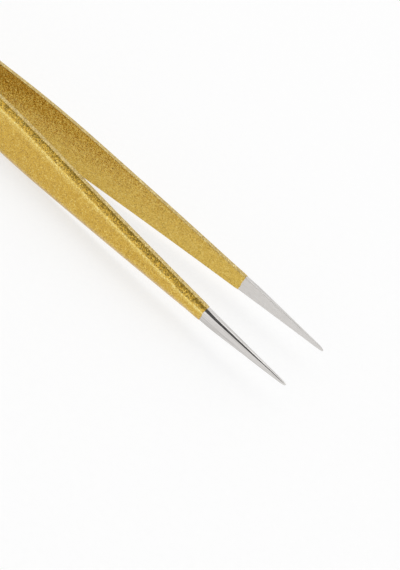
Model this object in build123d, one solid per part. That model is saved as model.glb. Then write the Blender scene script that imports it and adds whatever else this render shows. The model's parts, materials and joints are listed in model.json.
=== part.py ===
from build123d import *
import os
from math import asin, atan2, degrees, hypot, radians, tan

# Fine-pointed spring tweezers: two stamped stainless blades, spot welded together
# at the butt, with a glitter coat over everything but the points.
#
# The tweezers lie on the edges of their blades. X runs from the butt to the points,
# Y is the way the points open, and Z runs up across the width of the blades. The
# origin is on the surface that the edges rest on, half way along, between the blades.
# A place along a blade is given as its distance back from the points.

# Driving sizes, in millimetres and degrees
overall_length = 140.0      # coated butt end to the points
grip_width = 10.2           # bare blade, across its widest part
sheet_thickness = 1.55      # bare blade behind the ground points
coat_thickness = 0.08       # glitter coat, on every face that it covers

tip_width = 0.6             # across one point, at its very end
tip_thickness = 0.35        # one point, from inner to outer face, at its very end
tip_gap = 13.8              # between the inner faces at the points, at rest
tip_splay = 1.1             # angle of each inner face to the centre plane, at the points
bare_length = 20.0          # points left uncoated
taper_length = 68.5         # points to full grip width
grind_length = 21.0         # points to full sheet thickness
width_easing = 0.6          # how softly the taper runs into the grip
grind_easing = 0.15         # how softly the grind runs into the sheet

bevel_width = 1.2           # bevel along the outer edges, seen from outside
bevel_height = 0.8          # the same bevel, through the sheet
bevel_share = 0.6           # most of the half width that the bevel may take near the points

weld_length = 13.92         # bare leaves pressed flat together at the butt
butt_corner_radius = 3.4    # bare leaf, corners of the butt end
root_bend_length = 11.0     # tighter bend that leads each leaf out of the weld
spring_length = 19.0        # leaf from the weld to the line that it flexes about

nugget_diameter = 3.0       # spot weld between the leaves
nugget_height = 1.0
nugget_chamfer = 0.25
nugget_spacing = 6.0
nugget_count = 2

# Named clearances
flex_gap = 0.12             # slit at the flex line, between a leaf and its blade
closed_clearance = 0.03     # each point to the centre plane, with the blade squeezed shut

# Worked out from the sizes above
points_x = overall_length / 2
middle_z = grip_width / 2 + coat_thickness
free_length = overall_length - coat_thickness - weld_length
flex_distance = free_length - spring_length
bow_length = free_length - root_bend_length
splay_slope = tan(radians(tip_splay))
bow_radius = bow_length * free_length / (tip_gap - splay_slope * (free_length + bow_length))
root_radius = root_bend_length / (splay_slope + bow_length / bow_radius)
station_step = 1.5
same_place = 1e-6


def eased(value, limit, easing):
    """The lower of value and limit, with a parabola in place of the corner between them."""
    if value <= limit - easing:
        return value
    if value >= limit + easing:
        return limit
    return limit - (limit + easing - value) ** 2 / (4 * easing)


def half_width(back):
    """Half the bare blade's width at a distance back from the points."""
    taper = (grip_width - tip_width) / 2 / taper_length
    return eased(tip_width / 2 + taper * back, grip_width / 2, width_easing)


def thickness(back):
    """The bare blade's thickness at a distance back from the points."""
    grind = (sheet_thickness - tip_thickness) / grind_length
    return eased(tip_thickness + grind * back, sheet_thickness, grind_easing)


def inner_offset(back):
    """Centre plane to a blade's inner face: a long bow, then the root bend, then the weld."""
    if back <= bow_length:
        return tip_gap / 2 - splay_slope * back - back**2 / (2 * bow_radius)
    if back < free_length:
        return (free_length - back) ** 2 / (2 * root_radius)
    return 0.0


def stations(start, end):
    """Evenly spaced distances from start to end, about station_step apart."""
    count = max(2, round((end - start) / station_step))
    return [start + (end - start) * i / count for i in range(count + 1)]


def section(back, side, grow):
    """A blade's section across X, as a face grown outwards by the coat's thickness or by nothing.

    The inner face is flat, and the outer face has a bevel along each edge. Side is 1 or
    -1, for the blade towards +Y or -Y.
    """
    half = half_width(back)
    thick = thickness(back)
    share = thick / sheet_thickness
    rise = bevel_height * share
    run = min(bevel_width * share, bevel_share * half)
    slant = hypot(run, rise)
    flat_growth = grow * (slant - run) / rise
    edge_growth = grow * (slant - rise) / run
    inner = inner_offset(back)
    outline = [
        (half + grow, inner - grow),
        (half + grow, inner + thick - rise + edge_growth),
        (half - run + flat_growth, inner + thick + grow),
    ]
    outline += [(-z, y) for z, y in reversed(outline)]
    x = points_x - back
    corners = [Vector(x, side * y, middle_z + z) for z, y in outline]
    return make_face(Polyline(*corners, close=True))


def leaf_run(start, end, side, grow):
    """The blade from one distance to another, lofted through its sections."""
    return loft([section(back, side, grow) for back in stations(start, end)])


def butt_plate(side, grow):
    """The flat end of a leaf in the weld, with rounded corners and the bevel all round them."""
    length = weld_length + grow
    width = grip_width + 2 * grow
    radius = butt_corner_radius + grow
    centre_x = points_x - free_length - length / 2
    slant = hypot(bevel_width, bevel_height)
    run = bevel_width + grow * (1 - (slant - bevel_width) / bevel_height)
    rise = bevel_height + grow * (1 - (slant - bevel_height) / bevel_width)
    floor = Plane(origin=(centre_x, -side * grow, middle_z), x_dir=(1, 0, 0), z_dir=(0, side, 0))
    plate = extrude(floor * Rectangle(length, width), amount=sheet_thickness + 2 * grow)
    end_corners = plate.edges().filter_by(Axis.Y).group_by(Axis.X)[0]
    plate = fillet(end_corners, radius)
    outer_face = plate.faces().sort_by(Axis.Y)[-1 if side > 0 else 0]
    weld_end_x = points_x - free_length
    rim = [e for e in outer_face.edges() if e.center().X < weld_end_x - same_place]
    return chamfer(rim, run, rise, reference=outer_face)


def weld_nuggets():
    """The spot welds between the two leaves, as separate solids."""
    first_x = points_x - free_length - weld_length / 2 - nugget_spacing * (nugget_count - 1) / 2
    solids = []
    for index in range(nugget_count):
        nugget = extrude(Plane.XZ * Circle(nugget_diameter / 2), amount=nugget_height / 2, both=True)
        nugget = chamfer(nugget.edges().filter_by(GeomType.CIRCLE), nugget_chamfer)
        solids.append(Pos(first_x + index * nugget_spacing, 0, middle_z) * nugget)
    return solids


def closing_angle():
    """How far a blade turns about its flex line before its point is at the centre plane."""
    arm = flex_distance
    pivot = pivot_offset()
    drop = inner_offset(0) - pivot
    reach = hypot(arm, drop)
    return degrees(asin((pivot - closed_clearance) / reach) + atan2(drop, arm))


def pivot_offset():
    """Centre plane to the flex line, which is at half the leaf's thickness."""
    return inner_offset(flex_distance) + thickness(flex_distance) / 2


def main():
    os.makedirs("parts", exist_ok=True)
    nuggets = weld_nuggets()
    parts = {"weld_nuggets": Compound(children=nuggets)}
    leaf_end = flex_distance + flex_gap / 2
    blade_end = flex_distance - flex_gap / 2
    butt_leaves = []
    butt_coat = None
    for letter, side in (("a", -1), ("b", 1)):
        blade = leaf_run(0, blade_end, side, 0)
        parts["blade_" + letter] = blade
        parts["coat_" + letter] = leaf_run(bare_length, blade_end, side, coat_thickness) - blade
        leaf = leaf_run(leaf_end, free_length, side, 0) + butt_plate(side, 0)
        butt_leaves.append(leaf)
        shell = leaf_run(leaf_end, free_length, side, coat_thickness) + butt_plate(side, coat_thickness)
        butt_coat = shell if butt_coat is None else butt_coat + shell
    for letter, leaf in zip("ab", butt_leaves):
        butt_coat -= leaf
        for nugget in nuggets:
            leaf -= nugget
        parts["butt_leaf_" + letter] = leaf
    parts["butt_coat"] = butt_coat
    for name, part in parts.items():
        export_step(part, f"parts/{name}.step")
        print(name, round(part.volume, 2), part.bounding_box())
    print("flex line x", round(points_x - flex_distance, 4), "y", round(pivot_offset(), 4))
    print("closing angle", round(closing_angle(), 4))
    print("bow radius", round(bow_radius, 1), "root radius", round(root_radius, 1))
    for back in stations(0, free_length)[::10]:
        offset = round(inner_offset(back), 3)
        print("back", round(back, 1), "inner offset", offset, "half width", round(half_width(back), 3))


main()
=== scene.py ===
import json
import logging
import math
from dataclasses import dataclass, field
from enum import Enum
from typing import Any

import bmesh
import bpy
import numpy as np
from mathutils import Matrix, Vector

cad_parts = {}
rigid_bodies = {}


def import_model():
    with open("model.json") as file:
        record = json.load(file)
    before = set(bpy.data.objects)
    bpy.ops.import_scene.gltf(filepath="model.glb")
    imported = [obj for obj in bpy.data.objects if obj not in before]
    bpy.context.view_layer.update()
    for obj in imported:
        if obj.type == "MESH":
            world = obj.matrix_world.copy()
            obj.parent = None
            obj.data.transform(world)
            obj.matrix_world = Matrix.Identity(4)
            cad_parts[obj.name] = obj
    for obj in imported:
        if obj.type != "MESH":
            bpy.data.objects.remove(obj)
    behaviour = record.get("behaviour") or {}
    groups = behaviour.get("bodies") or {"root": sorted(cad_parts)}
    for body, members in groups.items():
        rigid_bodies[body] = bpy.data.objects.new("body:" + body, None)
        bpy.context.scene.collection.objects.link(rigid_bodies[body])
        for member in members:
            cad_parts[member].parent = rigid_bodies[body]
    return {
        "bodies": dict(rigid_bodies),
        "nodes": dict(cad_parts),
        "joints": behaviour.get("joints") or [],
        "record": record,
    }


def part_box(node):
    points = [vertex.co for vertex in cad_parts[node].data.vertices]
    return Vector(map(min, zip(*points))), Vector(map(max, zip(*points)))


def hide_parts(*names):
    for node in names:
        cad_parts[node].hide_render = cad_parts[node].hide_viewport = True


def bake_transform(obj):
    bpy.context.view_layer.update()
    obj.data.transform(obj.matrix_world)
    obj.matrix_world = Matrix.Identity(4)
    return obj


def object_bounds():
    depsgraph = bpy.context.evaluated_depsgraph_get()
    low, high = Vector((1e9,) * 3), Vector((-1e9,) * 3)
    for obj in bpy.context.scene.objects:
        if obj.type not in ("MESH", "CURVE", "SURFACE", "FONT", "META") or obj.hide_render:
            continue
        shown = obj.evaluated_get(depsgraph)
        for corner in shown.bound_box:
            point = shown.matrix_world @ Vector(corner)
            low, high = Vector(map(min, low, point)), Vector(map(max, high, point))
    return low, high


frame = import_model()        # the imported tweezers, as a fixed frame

CAD_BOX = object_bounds()
MM = 0.001
SAME_PLACE = 0.0002 * MM    # points nearer than this are one point
NO_LENGTH = 0.0001 * MM     # edges shorter than this are dropped
INNER, RIDGE, RIM = "inner_face", "ridge", "rim"    # marks that the meshes carry for the finishes, and for the lacquer's painted light: a lighter inner face, and pale ridges and rims
COLOUR_A, COLOUR_B, COLOUR_MIX = 6, 7, 2    # a Mix node's two colour inputs and its colour output
NOISE_LOW, NOISE_HIGH = 0.3, 0.7    # nearly all of a noise pattern lies between these
Array = np.ndarray
Socket = bpy.types.NodeSocket
Stops = tuple[tuple[float, str], ...]
log = logging.getLogger("tweezers")


class Side(Enum):
    """The two blades: a towards -Y and b towards +Y."""

    A = -1
    B = 1

    @property
    def letter(self) -> str:
        """The letter that the side's nodes and body end in."""
        return self.name.lower()


class Face(Enum):
    """The two broad faces of a blade."""

    INNER = "inner"
    OUTER = "outer"


def eased(value: Array, limit: Array | float, easing: Array | float) -> Array:
    """The lower of value and limit, with a parabola in place of the corner between them.

    Args:
        value: What is limited.
        limit: The most that it may be.
        easing: Half the stretch over which it turns.

    Returns:
        The eased value, in value's own shape.
    """
    short = np.clip(limit + easing - value, 0.0, 2.0 * easing)
    return np.where(value <= limit - easing, value, limit - short**2 / (4.0 * easing))


def quarter_round(distance: Array, radius: Array) -> Array:
    """How far a rounded edge falls below its face: its radius, less a circle's height there."""
    left = np.clip(radius - distance, 0.0, None)
    return radius - np.sqrt(np.clip(radius**2 - left**2, 0.0, None))


@dataclass(frozen=True)
class BladeForm:
    """The shape of one bare blade: a long taper, a gentle bow, and a bevel along its edges.

    A place along the blade is its distance back from the point. Sizes are in metres.
    """

    points_x: float
    butt_x: float
    middle_z: float
    flex_x: float
    coat: float
    grip_width: float = 10.2 * MM
    sheet: float = 1.55 * MM
    tip_width: float = 0.6 * MM
    tip_thickness: float = 0.35 * MM
    tip_gap: float = 13.8 * MM
    tip_slope: float = math.tan(math.radians(1.1))
    bare_length: float = 20.0 * MM
    taper_length: float = 68.5 * MM
    grind_length: float = 21.0 * MM
    width_easing: float = 0.6 * MM
    grind_easing: float = 0.15 * MM
    bevel_width: float = 1.2 * MM
    bevel_height: float = 0.8 * MM
    bevel_share: float = 0.6        # most of the half width that the bevel takes
    point_crown: float = 0.95
    grip_crown: float = 0.1
    crown_power: int = 5
    crown_change: float = 6.0 * MM
    ridge_easing: float = 0.24
    ridge_reach: tuple[float, float] = (0.14 * MM, 0.42 * MM)    # towards the edge, towards the flat
    lower_highlight: float = 0.3         # the lower ridges' share of the upper ones' painted highlight
    rim_reach: float = 0.05 * MM
    weld_length: float = 13.92 * MM
    root_bend_length: float = 11.0 * MM
    corner_radius: float = 3.4 * MM
    edge_round: float = 0.1 * MM
    coat_round: float = 0.5         # share of the coat's thickness that the edge's radius gains
    bevel_round: float = 0.25       # most of the bevel's width that the radius takes
    wall_round: float = 0.3         # most of the wall's height that the radius takes
    inner_round: float = 0.4        # share of the radius that the inner face's edges have
    nose_length: float = 1.4 * MM
    nose_blunt: float = 0.35        # share of the full size at the very end of the point
    weld_film: float = 0.01 * MM    # least space from a bare leaf to the centre plane

    @property
    def length(self) -> float:
        """The bare blade, from its point to its butt end."""
        return self.points_x - self.butt_x - self.coat

    @property
    def free_length(self) -> float:
        """The bare blade, from its point to the weld."""
        return self.length - self.weld_length

    def half_width(self, back: Array) -> Array:
        """Half the blade's width: a straight taper, eased into the grip, with a rounded nose.

        Args:
            back: Distances back from the point.

        Returns:
            The half width at each distance.
        """
        taper = (self.grip_width - self.tip_width) / 2 / self.taper_length
        full = eased(self.tip_width / 2 + taper * back, self.grip_width / 2, self.width_easing)
        return full * self.nose(back)

    def thickness(self, back: Array) -> Array:
        """The blade's thickness: a straight grind, eased into the full sheet, with a rounded nose.

        Args:
            back: Distances back from the point.

        Returns:
            The thickness at each distance.
        """
        grind = (self.sheet - self.tip_thickness) / self.grind_length
        full = eased(self.tip_thickness + grind * back, self.sheet, self.grind_easing)
        return full * self.nose(back)

    def nose(self, back: Array) -> Array:
        """The share of the full size left at the very end of the point, along a quarter circle."""
        left = np.clip(1.0 - back / self.nose_length, 0.0, 1.0)
        return self.nose_blunt + (1.0 - self.nose_blunt) * np.sqrt(1.0 - left**2)

    def crown(self, back: Array) -> Array:
        """How round the bevel is, from 0 for flat: the polished points are rounder than the grip."""
        share = np.clip(0.5 + (back - self.bare_length) / self.crown_change, 0.0, 1.0)
        return self.point_crown + (self.grip_crown - self.point_crown) * share

    def inner_offset(self, back: Array) -> Array:
        """Centre plane to the inner face: a long parabola from the point, then a tight one to the weld.

        The long one is half the gap at the points, less its slope there times the distance,
        less the distance squared over twice its radius. The tight one is the distance from
        the weld squared over twice its own radius. Their slopes agree where they meet.

        Args:
            back: Distances back from the point.

        Returns:
            The offset at each distance.
        """
        bow = self.free_length - self.root_bend_length
        radius = bow * self.free_length / (self.tip_gap - self.tip_slope * (self.free_length + bow))
        root_radius = self.root_bend_length / (self.tip_slope + bow / radius)
        front = self.tip_gap / 2 - self.tip_slope * back - back**2 / (2 * radius)
        root = np.clip(self.free_length - back, 0.0, None) ** 2 / (2 * root_radius)
        return np.where(back <= bow, front, root)


@dataclass(frozen=True)
class EdgeColumns:
    """Where a face's columns lie, counted in from one edge to the middle of the blade.

    Each column's distance from the edge is a mix of three lengths: the edge's own radius,
    the bevel's width and the half width. They crowd at the rounded edge and at the ridge,
    where the surface turns.
    """

    round_steps: tuple[float, ...] = (0.0, 0.07, 0.25, 0.55, 1.0)
    bevel_steps: tuple[float, ...] = (0.33, 0.66, 1.0)
    bevel_end: float = 0.76
    ridge_steps: tuple[float, ...] = (0.84, 0.92, 1.0, 1.08, 1.16, 1.26)
    flat_steps: tuple[float, ...] = (0.33, 0.66, 1.0)

    def mix(self) -> Array:
        """Mixes the three lengths for each column.

        Returns:
            A row for each column: its shares of the radius, the bevel's width and the half width.
        """
        last = self.ridge_steps[-1]
        rows = [(s, 0.0, 0.0) for s in self.round_steps]
        rows += [(1.0 - s, self.bevel_end * s, 0.0) for s in self.bevel_steps]
        rows += [(0.0, s, 0.0) for s in self.ridge_steps]
        rows += [(0.0, last * (1.0 - s), s) for s in self.flat_steps]
        return np.array(rows)


@dataclass
class Skin:
    """The closed outside of a blade, or of the coat on it, as a handful of grids of points."""

    form: BladeForm
    side: Side
    spacing: float = 0.8 * MM
    corner_steps: int = 14
    wall_rows: int = 3
    mix: Array = field(init=False)
    sign: Array = field(init=False)

    def __post_init__(self) -> None:
        """Mirrors the columns of one half on to the other: sign is 1 towards +Z and -1 towards -Z."""
        half = EdgeColumns().mix()
        self.mix = np.concatenate([half, half[-2::-1]])
        self.sign = np.concatenate([np.ones(len(half)), -np.ones(len(half) - 1)])

    def stations(self, start: float, grow: float) -> Array:
        """Distances back from the point, which crowd at a point's nose and round the butt's corners.

        Args:
            start: The first distance.
            grow: How far the skin stands outside the bare blade.

        Returns:
            The distances, in rising order.
        """
        form = self.form
        end = form.length + grow
        corner = form.corner_radius + grow
        turn = np.linspace(0.0, math.pi / 2, self.corner_steps + 1)
        tail = end - corner * (1.0 - np.cos(turn[::-1]))
        has_nose = start < form.nose_length
        lead = form.nose_length * (1.0 - np.cos(turn[::3])) if has_nose else np.array([0.0])
        first = start + lead[-1]
        count = int(round((tail[0] - first) / self.spacing))
        middle = np.linspace(first, tail[0], count + 1)[1:-1]
        return np.concatenate([start + lead, middle, tail])

    def lengths(self, back: Array, grow: Array) -> tuple[Array, Array, Array, Array, Array]:
        """The blade's changing sizes at each distance back.

        A skin that stands outside the bare blade keeps the bevel's slope, so the bevel gets
        wider and higher by what a mitre adds.

        Args:
            back: Distances back from the point.
            grow: How far the skin stands outside the bare blade.

        Returns:
            The half width, the bevel's width and height, the side wall's height, and the
            radius of the rounded edges.
        """
        form = self.form
        half = form.half_width(back)
        thick = form.thickness(back)
        share = thick / form.sheet
        rise = form.bevel_height * share
        run = np.minimum(form.bevel_width * share, form.bevel_share * half)
        slant = np.hypot(run, rise)
        wall = thick - rise + grow + grow * (slant - rise) / run
        wide = run + grow - grow * (slant - run) / rise
        high = rise + grow - grow * (slant - rise) / run
        room = np.minimum(form.bevel_round * wide, form.wall_round * wall)
        rounding = np.minimum(form.edge_round + form.coat_round * grow, room)
        return half + grow, wide, high, wall, rounding

    def broad_face(self, face: Face, back: Array, grow: Array) -> Array:
        """The points of one broad face.

        The distance in from the outline, which has rounded corners at the butt, gives the
        height: from the top of the wall up the bevel, which is crowned, and over an eased
        ridge on to the flat. The face's edges are rounded off. The last three values of a
        point mark where it is, from 0 to 1: on an inner face, on a ridge, which falls off as
        a bell curve that is wider on the flat's side, and on the rim.

        Args:
            face: Which broad face.
            back: Distances back from the point, with a column for each column of the grid.
            grow: How far the skin stands outside the bare blade.

        Returns:
            An array of rows, columns and x, y, z and the marks for inner face, ridge and rim.
        """
        form = self.form
        half, run, rise, wall, rounding = self.lengths(back, grow)
        is_inner = face is Face.INNER
        rounding = rounding * (form.inner_round if is_inner else 1.0)
        left = form.length + grow - back
        corner = form.corner_radius + grow
        cut = np.clip(corner - left, 0.0, corner)
        limit = half - corner + np.sqrt(np.clip(corner**2 - cut**2, 0.0, None))
        inset = self.mix[:, 0] * rounding + self.mix[:, 1] * run + self.mix[:, 2] * limit
        across = self.sign * (limit - inset)
        aside = half - np.abs(across)
        in_corner = (aside < corner) & (left < corner)
        round_distance = corner - np.hypot(corner - aside, corner - left)
        distance = np.where(in_corner, round_distance, np.minimum(aside, left))
        distance = np.clip(distance, 0.0, None)
        edge_drop = quarter_round(distance, rounding)
        base = np.maximum(form.inner_offset(back), form.weld_film) - grow
        base = np.maximum(base, np.where(grow > 0.0, 0.0, form.weld_film))
        climb = np.clip(distance / run, 0.0, 2.0)
        crown = form.crown(back)
        bulge = 1.0 - np.clip(1.0 - climb, 0.0, 1.0) ** form.crown_power
        crowned = (1.0 - crown) * climb + crown * bulge
        easing = form.ridge_easing * (1.0 - crown)
        top = form.inner_offset(back) - grow + wall + rise * eased(crowned, 1.0, easing)
        # the rim mark: where the lacquer is painted a pale grey-gold, partly a painted highlight on the
        # edges and partly thin film
        rim = np.exp(-((distance / form.rim_reach) ** 2))
        past = distance - run
        reach = np.where(past < 0.0, *form.ridge_reach)
        height = base + edge_drop if is_inner else top - edge_drop
        # the ridge mark carries a painted highlight: full on the upper ridges, weaker on the lower ones
        ridge_highlight_mark = np.where(self.sign > 0.0, 1.0, form.lower_highlight) * np.exp(-((past / reach) ** 2))
        ridge = np.zeros_like(rim) if is_inner else ridge_highlight_mark
        inner = np.clip(distance / rounding, 0.0, 1.0) if is_inner else np.zeros_like(rim)
        place = (form.points_x - back, self.side.value * height, form.middle_z + across)
        return np.stack([*place, inner, ridge, rim], axis=-1)

    def grids(self, back: Array, grow: Array) -> list[Array]:
        """The broad faces, the two side walls between them and the wall at the butt end.

        Args:
            back: Distances back from the point, a row for each station.
            grow: How far the skin stands outside the bare blade, in back's shape.

        Returns:
            The grids, which share their border points.
        """
        inner = self.broad_face(Face.INNER, back, grow)
        outer = self.broad_face(Face.OUTER, back, grow)
        share = np.linspace(0.0, 1.0, self.wall_rows + 2)[None, :, None]
        walls = [inner[:, c, None] * (1.0 - share) + outer[:, c, None] * share for c in (0, -1)]
        butt = inner[-1, :, None] * (1.0 - share) + outer[-1, :, None] * share
        return [inner, outer, *walls, butt]

    def point_cap(self, grids: list[Array]) -> Array:
        """The small wall that closes the skin at its front station.

        Args:
            grids: The skin's grids, of which the first two are its broad faces.

        Returns:
            The wall's grid, straight from the inner face's front row to the outer face's.
        """
        inner, outer = grids[0], grids[1]
        share = np.linspace(0.0, 1.0, self.wall_rows + 2)[None, :, None]
        return inner[0, :, None] * (1.0 - share) + outer[0, :, None] * share

    @staticmethod
    def front_ring(grids: list[Array]) -> Array:
        """The closed loop of points round the front station: inner face, wall, outer face, wall."""
        inner, outer, wall, far_wall = grids[:4]
        return np.concatenate([inner[0], far_wall[0, 1:], outer[0, -2::-1], wall[0, -2::-1]])


def mesh_from_grids(name: str, grids: list[Array], sharp_angle: float = 38.0) -> bpy.types.Object:
    """Joins grids of points into one closed mesh with smooth faces and outward normals.

    Each grid's quads run over its neighbouring rows and columns. Points that grids share
    are merged, and edges that turn more than the sharp angle stay sharp. The marks go into
    attributes that the finishes read.

    Args:
        name: The piece's name.
        grids: Arrays of rows, columns and x, y, z and marks.
        sharp_angle: The least turn of a sharp edge, in degrees.

    Returns:
        The new object, in the scene and at the origin.
    """
    points = np.concatenate([grid.reshape(-1, grid.shape[-1]) for grid in grids])
    quads = []
    start = 0
    for grid in grids:
        rows, columns = grid.shape[:2]
        index = start + np.arange(rows * columns).reshape(rows, columns)
        corners = (index[:-1, :-1], index[1:, :-1], index[1:, 1:], index[:-1, 1:])
        quads.append(np.stack(corners, axis=-1).reshape(-1, 4))
        start += rows * columns
    mesh = bpy.data.meshes.new(name)
    mesh.from_pydata(points[:, :3], [], np.concatenate(quads))
    for mark, values in zip((INNER, RIDGE, RIM), points[:, 3:].T):
        attribute = mesh.attributes.new(mark, "FLOAT", "POINT")
        attribute.data.foreach_set("value", values.astype(np.float32))
    shell = bmesh.new()
    shell.from_mesh(mesh)
    bmesh.ops.remove_doubles(shell, verts=shell.verts, dist=SAME_PLACE)
    bmesh.ops.dissolve_degenerate(shell, edges=shell.edges, dist=NO_LENGTH)
    bmesh.ops.recalc_face_normals(shell, faces=shell.faces)
    shell.to_mesh(mesh)
    shell.free()
    mesh.shade_smooth()
    mesh.set_sharp_from_angle(angle=math.radians(sharp_angle))
    piece = bpy.data.objects.new(name, mesh)
    bpy.context.scene.collection.objects.link(piece)
    return piece


def linear(hex_colour: str) -> tuple[float, float, float, float]:
    """Turns an sRGB colour into a linear one.

    Args:
        hex_colour: The colour, such as C8A54C.

    Returns:
        Its linear red, green and blue, with an alpha of 1.
    """
    parts = np.array([int(hex_colour[i:i + 2], 16) for i in (0, 2, 4)]) / 255.0
    light = np.where(parts <= 0.04045, parts / 12.92, ((parts + 0.055) / 1.055) ** 2.4)
    return (*light.tolist(), 1.0)


def add_node(tree: bpy.types.NodeTree, kind: str, links: dict[str | int, Any] | None = None,
             stops: Stops = (), **settings: Any) -> bpy.types.Node:
    """Adds one node with its settings and links.

    Args:
        tree: The node tree.
        kind: The node's type, without its ShaderNode prefix.
        links: Input names or numbers, to a socket that feeds them or to a plain value.
        stops: A colour ramp's places from 0 to 1, each with its sRGB hex colour.
        settings: The node's own properties.

    Returns:
        The new node.
    """
    node = tree.nodes.new("ShaderNode" + kind)
    for key, value in settings.items():
        setattr(node, key, value)
    for key, value in (links or {}).items():
        socket = node.inputs[key]
        if isinstance(value, bpy.types.NodeSocket):
            tree.links.new(value, socket)
        else:
            socket.default_value = value
    if stops:
        elements = node.color_ramp.elements
        while len(elements) < len(stops):
            elements.new(0.5)
        for element, (place, colour) in zip(elements, stops):
            element.position = place
            element.color = linear(colour)
    return node


def new_material(name: str) -> tuple[bpy.types.Material, bpy.types.NodeTree, bpy.types.Node]:
    """Starts a material that has only a principled shader.

    Args:
        name: The material's name.

    Returns:
        The material, its node tree and the shader node.
    """
    material = bpy.data.materials.new(name)
    material.use_nodes = True
    tree = material.node_tree
    tree.nodes.clear()
    shader = add_node(tree, "BsdfPrincipled")
    add_node(tree, "OutputMaterial", {"Surface": shader.outputs["BSDF"]})
    return material, tree, shader


@dataclass(frozen=True)
class GlitterCoat:
    """Glitter lacquer: gold aluminium flakes laid at random in a clear binder, sprayed and baked.

    The flakes lie roughly in the surface, each tilted its own way, so the eye sees a fine
    grain that sparkles where the surface turns through a light, and a soft body of gold.
    The ridges are painted pale: a painted highlight. The rims are painted a pale grey-gold,
    partly a painted highlight and partly the film drawn so thin that the steel greys it. The
    inner faces are painted a lighter, greener gold: painted light on the same lacquer. Real
    flakes of this grade are about 0.1 mm. They are drawn at 0.17 mm, because finer ones
    average out to a plain gold at the size that the tweezers are seen.
    """

    flake_size: float = 0.17 * MM
    clump_size: float = 0.8 * MM
    clump_detail: float = 3.0
    clump_drift: float = 0.12
    tilt: float = 0.45
    metallic: float = 0.85
    roughness: float = 0.3
    binder_weight: float = 0.3
    binder_roughness: float = 0.15
    body: Stops = ((0.0, "B18A2C"), (0.15, "C69E38"), (0.5, "D2AA41"), (0.85, "DBB54C"), (1.0, "E8CC70"))
    # the inner faces' gold is painted lighter and greener than the outer faces': painted light on the same
    # lacquer
    inside: Stops = ((0.0, "B39538"), (0.15, "CBA747"), (0.5, "D7B550"), (0.85, "DEBD57"), (1.0, "E6CC74"))
    # the ridges' pale gold is a painted highlight
    ridge_highlight: Stops = ((0.0, "DCB850"), (0.5, "F5DB78"), (1.0, "FFF3B0"))
    # the rims' pale grey-gold: a painted highlight along the edges, with the thin film over the steel
    thin: Stops = ((0.0, "958963"), (0.5, "BBAD7E"), (1.0, "E6DDB2"))
    ridge_highlight_share: float = 0.75
    rim_film_and_highlight_share: float = 0.5

    def build(self) -> bpy.types.Material:
        """Builds the lacquer: each flake is a Voronoi cell with its own tone and tilt.

        Returns:
            The material.
        """
        material, tree, shader = new_material("gold_glitter_lacquer")
        place = add_node(tree, "TexCoord").outputs["Object"]
        cells = add_node(tree, "TexVoronoi", {"Vector": place, "Scale": 1.0 / self.flake_size})
        flake = cells.outputs["Color"]
        tree.links.new(self.colour(tree, self.tone(tree, place, flake)), shader.inputs["Base Color"])
        tree.links.new(self.facing(tree, flake), shader.inputs["Normal"])
        shader.inputs["Metallic"].default_value = self.metallic
        shader.inputs["Roughness"].default_value = self.roughness
        shader.inputs["Coat Weight"].default_value = self.binder_weight
        shader.inputs["Coat Roughness"].default_value = self.binder_roughness
        return material

    def tone(self, tree: bpy.types.NodeTree, place: Socket, flake: Socket) -> Socket:
        """Picks each flake's tone by chance, and lets the tones drift a little in clumps.

        Args:
            tree: The material's node tree.
            place: The place on the tweezers.
            flake: The flake's random colour.

        Returns:
            The tone, from 0 for dark to 1 for pale.
        """
        chance = add_node(tree, "SeparateColor", {"Color": flake}).outputs["Red"]
        clumps = add_node(tree, "TexNoise", {"Vector": place, "Scale": 1.0 / self.clump_size,
                                             "Detail": self.clump_detail}).outputs["Fac"]
        drift = add_node(tree, "MapRange", {"Value": clumps, "From Min": NOISE_LOW, "From Max": NOISE_HIGH,
                                            "To Min": -self.clump_drift, "To Max": self.clump_drift})
        return add_node(tree, "Math", {0: chance, 1: drift.outputs["Result"]}, operation="ADD",
                        use_clamp=True).outputs[0]

    def colour(self, tree: bpy.types.NodeTree, tone: Socket) -> Socket:
        """Lays three colours over the body's: the inside's lighter gold, which is painted light, the
        ridges' painted highlight, and the rims' painted highlight with thin film.

        Args:
            tree: The material's node tree.
            tone: Each flake's tone.

        Returns:
            The base colour.
        """
        colour = add_node(tree, "ValToRGB", {"Fac": tone}, self.body).outputs["Color"]
        # the inner faces' lighter gold is painted light, the ridges' pale gold a painted highlight, and
        # the rims' grey-gold partly a painted highlight
        layers = ((INNER, 1.0, self.inside), (RIDGE, self.ridge_highlight_share, self.ridge_highlight),
                  (RIM, self.rim_film_and_highlight_share, self.thin))
        for mark, most, stops in layers:
            where = add_node(tree, "Attribute", attribute_name=mark).outputs["Fac"]
            share = add_node(tree, "Math", {0: where, 1: most}, operation="MULTIPLY").outputs[0]
            layer = add_node(tree, "ValToRGB", {"Fac": tone}, stops).outputs["Color"]
            colour = add_node(tree, "Mix", {"Factor": share, COLOUR_A: colour, COLOUR_B: layer},
                              data_type="RGBA").outputs[COLOUR_MIX]
        return colour

    def facing(self, tree: bpy.types.NodeTree, flake: Socket) -> Socket:
        """Tilts each flake: the surface's normal, plus the random colour less its middle, scaled.

        Args:
            tree: The material's node tree.
            flake: The flake's random colour.

        Returns:
            The flake's own normal.
        """
        centred = add_node(tree, "VectorMath", {0: flake, 1: (0.5, 0.5, 0.5)},
                           operation="SUBTRACT").outputs[0]
        scaled = add_node(tree, "VectorMath", {0: centred, "Scale": self.tilt},
                          operation="SCALE").outputs[0]
        normal = add_node(tree, "NewGeometry").outputs["Normal"]
        tipped = add_node(tree, "VectorMath", {0: normal, 1: scaled}, operation="ADD").outputs[0]
        return add_node(tree, "VectorMath", {0: tipped}, operation="NORMALIZE").outputs[0]


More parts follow.
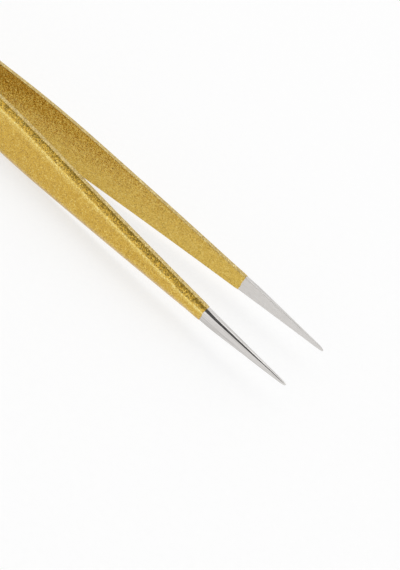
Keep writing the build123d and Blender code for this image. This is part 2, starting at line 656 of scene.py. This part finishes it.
@dataclass(frozen=True)
class GroundSteel:
    """Stainless steel, stamped, then ground along its length and polished outside.

    The grinding leaves fine lines along the blade, a few hundredths of a millimetre apart.
    The flat inner face keeps a satin grain, and the outer face is polished until it
    mirrors its surroundings in long bands. The wheel's passes stay as faint streaks, half a
    millimetre apart. Lines are drawn 0.06 mm apart, so that they show.
    """

    name: str
    line_spacing: float = 0.06 * MM
    line_length: float = 6.0 * MM
    line_detail: float = 4.0
    line_fineness: float = 0.65
    line_tones: tuple[float, float] = (0.35, 0.65)
    line_depth: float = 0.003 * MM
    line_strength: float = 0.12
    streak_spacing: float = 0.5 * MM
    streak_length: float = 90.0 * MM
    streak_detail: float = 1.0
    streak_fineness: float = 0.5
    streak_limits: tuple[float, float] = (0.53, 0.4)
    streak_share: float = 0.24
    polished_roughness: float = 0.15
    satin_roughness: float = 0.4
    grain: float = 0.05
    light: str = "DFDCD9"
    dark: str = "CBC8C5"
    streak: str = "8C8885"

    def build(self) -> bpy.types.Material:
        """Builds the steel: drawn-out noise gives the lines, and the inner face is rougher.

        Returns:
            The material.
        """
        material, tree, shader = new_material(self.name)
        place = add_node(tree, "TexCoord").outputs["Object"]
        satin = add_node(tree, "Attribute", attribute_name=INNER).outputs["Fac"]
        lines = self.drawn_noise(tree, place, (self.line_length, self.line_spacing),
                                 self.line_detail, self.line_fineness)
        tree.links.new(self.colour(tree, place, lines, satin), shader.inputs["Base Color"])
        roughness = add_node(tree, "MapRange", {"Value": satin, "To Min": self.polished_roughness,
                                                "To Max": self.satin_roughness}).outputs["Result"]
        grain = add_node(tree, "MapRange", {"Value": lines, "From Min": NOISE_LOW, "From Max": NOISE_HIGH,
                                            "To Min": -self.grain, "To Max": self.grain}).outputs["Result"]
        mixed = add_node(tree, "Math", {0: roughness, 1: grain}, operation="ADD").outputs[0]
        tree.links.new(mixed, shader.inputs["Roughness"])
        bump = add_node(tree, "Bump", {"Height": lines, "Distance": self.line_depth,
                                       "Strength": self.line_strength}).outputs["Normal"]
        tree.links.new(bump, shader.inputs["Normal"])
        shader.inputs["Metallic"].default_value = 1.0
        return material

    @staticmethod
    def drawn_noise(tree: bpy.types.NodeTree, place: Socket, size: tuple[float, float], detail: float,
                    fineness: float) -> Socket:
        """Noise that is drawn out along the blade.

        Args:
            tree: The material's node tree.
            place: The place on the tweezers.
            size: The length of a mark and the spacing between marks.
            detail: How many finer layers the noise has.
            fineness: How strong the finer layers are.

        Returns:
            The noise, from 0 to 1.
        """
        length, spacing = size
        stretch = (1.0 / length, 1.0 / spacing, 1.0 / spacing)
        along = add_node(tree, "Mapping", {"Vector": place, "Scale": stretch}).outputs["Vector"]
        return add_node(tree, "TexNoise", {"Vector": along, "Scale": 1.0, "Detail": detail,
                                           "Roughness": fineness}).outputs["Fac"]

    def colour(self, tree: bpy.types.NodeTree, place: Socket, lines: Socket, satin: Socket) -> Socket:
        """Colours the lines, and darkens the polished faces along the wheel's passes.

        Args:
            tree: The material's node tree.
            place: The place on the tweezers.
            lines: The noise of the grinding lines.
            satin: How far a place is on the inner face, which has no streaks.

        Returns:
            The base colour.
        """
        stops = tuple(zip(self.line_tones, (self.dark, self.light)))
        colour = add_node(tree, "ValToRGB", {"Fac": lines}, stops).outputs["Color"]
        passes = self.drawn_noise(tree, place, (self.streak_length, self.streak_spacing),
                                  self.streak_detail, self.streak_fineness)
        start, end = self.streak_limits
        streak = add_node(tree, "MapRange", {"Value": passes, "From Min": start, "From Max": end,
                                             "To Max": self.streak_share},
                          interpolation_type="SMOOTHSTEP").outputs["Result"]
        polished = add_node(tree, "Math", {0: 1.0, 1: satin}, operation="SUBTRACT").outputs[0]
        share = add_node(tree, "Math", {0: polished, 1: streak}, operation="MULTIPLY").outputs[0]
        return add_node(tree, "Mix", {"Factor": share, COLOUR_A: colour, COLOUR_B: linear(self.streak)},
                        data_type="RGBA").outputs[COLOUR_MIX]


@dataclass(frozen=True)
class Blade:
    """One bare steel blade: spring leaf, grip and ground point, all one piece of sheet."""

    skin: Skin

    def build(self, steel: bpy.types.Material) -> bpy.types.Object:
        """Builds the blade from its point to its butt end and dresses it.

        Args:
            steel: The blade's finish.

        Returns:
            The blade.
        """
        skin = self.skin
        back = np.repeat(skin.stations(0.0, 0.0)[:, None], len(skin.sign), axis=1)
        grids = skin.grids(back, np.zeros_like(back))
        grids.append(skin.point_cap(grids))
        letter = skin.side.letter
        piece = mesh_from_grids(f"steel_blade_{letter}", grids)
        piece.data.materials.append(steel)
        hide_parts(f"blade_{letter}", f"butt_leaf_{letter}")
        return piece


@dataclass(frozen=True)
class MaskedEdge:
    """The front edge of the coat, where tape kept it off the bare points.

    The edge wanders a little across the blade, as two sine waves, and the film feathers
    out over its last part.
    """

    wander: float = 0.09 * MM
    long_wave: float = 1.9 * MM
    long_phase: float = 0.7
    long_share: float = 0.6
    short_wave: float = 0.53 * MM
    short_phase: float = 2.1
    fade: float = 3.0 * MM
    feather: float = 0.35 * MM
    thin_share: float = 0.4

    def shift(self, across: Array, side: Side) -> Array:
        """The sum of the two waves, whose phases change sign from one blade to the other.

        Args:
            across: Places across the blade, from its middle.
            side: Which blade.

        Returns:
            How far the edge lies behind its line at each place, or ahead of it where negative.
        """
        turn = 2 * math.pi * across
        long_part = np.sin(turn / self.long_wave + self.long_phase * side.value)
        short_part = np.sin(turn / self.short_wave + self.short_phase * side.value)
        return self.wander * (self.long_share * long_part + (1.0 - self.long_share) * short_part)


@dataclass(frozen=True)
class Coat:
    """The glitter coat on one blade: a thin shell from behind the bare point to the butt."""

    skin: Skin
    edge: MaskedEdge = MaskedEdge()

    def build(self, lacquer: bpy.types.Material) -> bpy.types.Object:
        """Builds the coat's outside and its inside, joined by a narrow ring at the front edge.

        Args:
            lacquer: The coat's finish.

        Returns:
            The coat.
        """
        skin, form, edge = self.skin, self.skin.form, self.edge
        outer_back, shift = self.rows(form.coat)
        inner_back, _ = self.rows(0.0)
        from_edge = outer_back - form.bare_length - shift
        thin = edge.thin_share + (1.0 - edge.thin_share) * np.clip(from_edge / edge.feather, 0.0, 1.0)
        outside = skin.grids(outer_back, form.coat * thin)
        inside = skin.grids(inner_back, np.zeros_like(inner_back))
        ring = np.stack([skin.front_ring(outside), skin.front_ring(inside)], axis=1)
        letter = skin.side.letter
        piece = mesh_from_grids(f"glitter_coat_{letter}", [*outside, *inside, ring])
        piece.data.materials.append(lacquer)
        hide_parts(f"coat_{letter}", "butt_coat")
        return piece

    def rows(self, grow: float) -> tuple[Array, Array]:
        """The coat's stations, moved at the front by the wandering edge.

        Args:
            grow: How far the skin stands outside the bare blade.

        Returns:
            The distances back of every point, and the edge's shift in each column.
        """
        skin, form = self.skin, self.skin.form
        rows = skin.stations(form.bare_length, grow)[:, None]
        width = form.half_width(np.array(form.bare_length))
        share = np.linspace(1.0, -1.0, len(skin.sign))[None, :]
        shift = self.edge.shift(width * share, skin.side)
        fading = np.clip(1.0 - (rows - form.bare_length) / self.edge.fade, 0.0, 1.0)
        return rows + shift * fading, shift


@dataclass(frozen=True)
class StudioCamera:
    """A long lens close to the tweezers, rolled so that they run down to the right."""

    azimuth: float = 13.58
    elevation: float = 41.04
    roll: float = 31.86
    distance: float = 324.6 * MM
    lens: float = 109.37
    aim: tuple[float, float, float] = (44.98 * MM, -0.73 * MM, 4.35 * MM)
    nearest: float = 5.0 * MM
    farthest: float = 10.0

    def build(self) -> bpy.types.Object:
        """Places the camera and makes it the scene's own.

        Returns:
            The camera.
        """
        turn, tilt, roll = (math.radians(a) for a in (self.azimuth, self.elevation, self.roll))
        back = Vector((math.sin(turn) * math.cos(tilt), -math.cos(turn) * math.cos(tilt), math.sin(tilt)))
        level = Vector((math.cos(turn), math.sin(turn), 0.0))
        upright = back.cross(level)
        right = math.cos(roll) * level + math.sin(roll) * upright
        up = math.cos(roll) * upright - math.sin(roll) * level
        data = bpy.data.cameras.new("studio_camera")
        data.lens = self.lens
        data.clip_start = self.nearest
        data.clip_end = self.farthest
        camera = bpy.data.objects.new("studio_camera", data)
        bpy.context.scene.collection.objects.link(camera)
        turned = Matrix((right, up, back)).transposed().to_4x4()
        camera.matrix_world = Matrix.Translation(Vector(self.aim) + back * self.distance) @ turned
        bpy.context.scene.camera = camera
        return camera


@dataclass(frozen=True)
class SoftBox:
    """A square area light that faces the front half of the tweezers."""

    name: str
    place: tuple[float, float, float]
    size: float
    watts: float
    colour: str = "FFFFFF"
    aim: tuple[float, float, float] = (20.0 * MM, 0.0, 5.0 * MM)

    def build(self) -> bpy.types.Object:
        """Places the light and turns it to its aim.

        Returns:
            The light.
        """
        data = bpy.data.lights.new(self.name, "AREA")
        data.energy = self.watts
        data.size = self.size
        data.color = linear(self.colour)[:3]
        light = bpy.data.objects.new(self.name, data)
        bpy.context.scene.collection.objects.link(light)
        light.location = self.place
        beam = Vector(self.aim) - Vector(self.place)
        light.rotation_euler = beam.to_track_quat("-Z", "Y").to_euler()
        return light


@dataclass(frozen=True)
class Table:
    """A large flat disc of cast milky acrylic, lit from below: an even white with a faint haze."""

    radius: float = 2.0
    sides: int = 64
    haze_size: float = MM / 0.9
    haze_detail: float = 3.0
    tones: tuple[str, str] = ("9E9E9E", "A2A2A2")
    roughness: float = 0.9
    specular: float = 0.1
    lamp: str = "FFFFFF"
    glow: float = 0.68

    def build(self) -> bpy.types.Object:
        """Builds the disc, round a circle, at the height that the tweezers rest on.

        Returns:
            The table.
        """
        turn = np.linspace(0.0, 2.0 * math.pi, self.sides, endpoint=False)
        rim = np.stack([np.cos(turn), np.sin(turn), np.zeros_like(turn)], axis=-1) * self.radius
        mesh = bpy.data.meshes.new("table")
        mesh.from_pydata(rim, [], [list(range(self.sides))])
        table = bpy.data.objects.new("table", mesh)
        table.location.z = CAD_BOX[0].z
        bpy.context.scene.collection.objects.link(table)
        mesh.materials.append(self.acrylic())
        return table

    def acrylic(self) -> bpy.types.Material:
        """Builds the milky acrylic, which gives off its own even light.

        Returns:
            The material.
        """
        material, tree, shader = new_material("milky_acrylic")
        place = add_node(tree, "TexCoord").outputs["Object"]
        haze = add_node(tree, "TexNoise", {"Vector": place, "Scale": 1.0 / self.haze_size,
                                           "Detail": self.haze_detail}).outputs["Fac"]
        stops = tuple(zip((NOISE_LOW, NOISE_HIGH), self.tones))
        colour = add_node(tree, "ValToRGB", {"Fac": haze}, stops).outputs["Color"]
        tree.links.new(colour, shader.inputs["Base Color"])
        shader.inputs["Roughness"].default_value = self.roughness
        shader.inputs["Specular IOR Level"].default_value = self.specular
        shader.inputs["Emission Color"].default_value = linear(self.lamp)
        shader.inputs["Emission Strength"].default_value = self.glow
        return material


@dataclass(frozen=True)
class Tent:
    """A pale light tent, with a brighter front wall and a dark round opening for the camera.

    Each pair of limits is where a part starts and where it is whole. The opening goes by
    the dot product of a direction with the opening's own, and the front wall by a
    direction's height, Z, and its reach, Y.
    """

    strength: float = 2.0
    walls: str = "B9B9B9"
    front_wall: str = "D8D8D8"
    dark: str = "424242"
    backdrop: str = "BBBBBB"
    opening: tuple[float, float, float] = (0.08, -0.53, 0.85)
    opening_limits: tuple[float, float] = (0.71, 0.83)
    front_heights: tuple[float, float] = (0.4, 0.15)
    front_reaches: tuple[float, float] = (-0.5, -0.85)

    def build(self) -> bpy.types.World:
        """Lights the world with the tent's walls, and shows the camera a plain backdrop.

        Returns:
            The world.
        """
        world = bpy.data.worlds.new("tent")
        bpy.context.scene.world = world
        world.use_nodes = True
        tree = world.node_tree
        tree.nodes.clear()
        look = add_node(tree, "TexCoord").outputs["Generated"]
        parts = add_node(tree, "SeparateXYZ", {"Vector": look}).outputs
        towards = add_node(tree, "VectorMath", {0: look, 1: self.opening}, operation="DOT_PRODUCT")
        measures = ((towards.outputs["Value"], self.opening_limits), (parts["Z"], self.front_heights),
                    (parts["Y"], self.front_reaches))
        shares = []
        for value, (start, end) in measures:
            share = add_node(tree, "MapRange", {"Value": value, "From Min": start, "From Max": end},
                             interpolation_type="SMOOTHSTEP")
            shares.append(share.outputs["Result"])
        opening, low, front = shares
        wall = add_node(tree, "Math", {0: low, 1: front}, operation="MULTIPLY").outputs[0]
        seen = add_node(tree, "LightPath").outputs["Is Camera Ray"]
        colour = linear(self.walls)
        for share, layer in ((wall, self.front_wall), (opening, self.dark), (seen, self.backdrop)):
            colour = add_node(tree, "Mix", {"Factor": share, COLOUR_A: colour, COLOUR_B: linear(layer)},
                              data_type="RGBA").outputs[COLOUR_MIX]
        light = add_node(tree, "Background", {"Color": colour, "Strength": self.strength})
        add_node(tree, "OutputWorld", {"Surface": light.outputs["Background"]})
        return world


@dataclass(frozen=True)
class Studio:
    """A glowing white table in a light tent, which the camera looks into through an opening.

    Polished steel and flakes show the tent's walls as pale bands, and its dark opening as a
    dark line. Two soft boxes shine through the tent's roof.
    """

    boxes: tuple[SoftBox, ...] = (
        SoftBox("key_light", (0.45, 0.15, 0.95), 0.8, 1.6),
        SoftBox("fill_light", (-0.5, 0.1, 0.8), 0.6, 0.8),
    )

    def build(self) -> None:
        """Builds the table, the lights, the tent and the camera, and shows colours as they are."""
        for part in (Table(), *self.boxes, Tent(), StudioCamera()):
            part.build()
        bpy.context.scene.view_settings.view_transform = "Standard"


@dataclass
class Tweezers:
    """The pair of coated blades, welded at the butt."""

    packed: dict[str, Any]
    blend_reach: float = 11.0 * MM
    form: BladeForm = field(init=False)

    def __post_init__(self) -> None:
        """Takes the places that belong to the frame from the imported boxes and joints."""
        low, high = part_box("butt_coat")
        _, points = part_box("blade_a")
        bare_low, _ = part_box("butt_leaf_a")
        flex = self.packed["joints"][0]["pos_m"]
        self.form = BladeForm(points_x=points.x, butt_x=low.x, middle_z=(low.z + high.z) / 2,
                              flex_x=flex[0], coat=bare_low.x - low.x)

    def build(self) -> list[bpy.types.Object]:
        """Builds and dresses both blades, their coats and the welds between them.

        Returns:
            Every piece.
        """
        steel = GroundSteel("polished_stainless_steel").build()
        weld = GroundSteel("weld_metal", polished_roughness=0.45, light="8F8D8A", dark="6C6A67",
                           streak="5A5855").build()
        lacquer = GlitterCoat().build()
        pieces = []
        for side in Side:
            skin = Skin(self.form, side)
            pair = [Blade(skin).build(steel), Coat(skin).build(lacquer)]
            for piece in pair:
                self.flex(piece, side)
            pieces += pair
        nuggets = self.packed["nodes"]["weld_nuggets"]
        nuggets.data.materials.clear()
        nuggets.data.materials.append(weld)
        return [*pieces, nuggets]

    def flex(self, piece: bpy.types.Object, side: Side) -> None:
        """Bakes a piece's placement into its mesh; the piece is not bent.

        Args:
            piece: A blade or its coat.
            side: Which blade. Not used.
        """
        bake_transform(piece)


def main() -> None:
    """Builds the studio and the tweezers, and reports each piece."""
    logging.basicConfig(level=logging.INFO, format="%(name)s: %(message)s")
    Studio().build()
    for piece in Tweezers(frame).build():
        log.info("%s: %d faces", piece.name, len(piece.data.polygons))


if __name__ == "__main__":
    main()
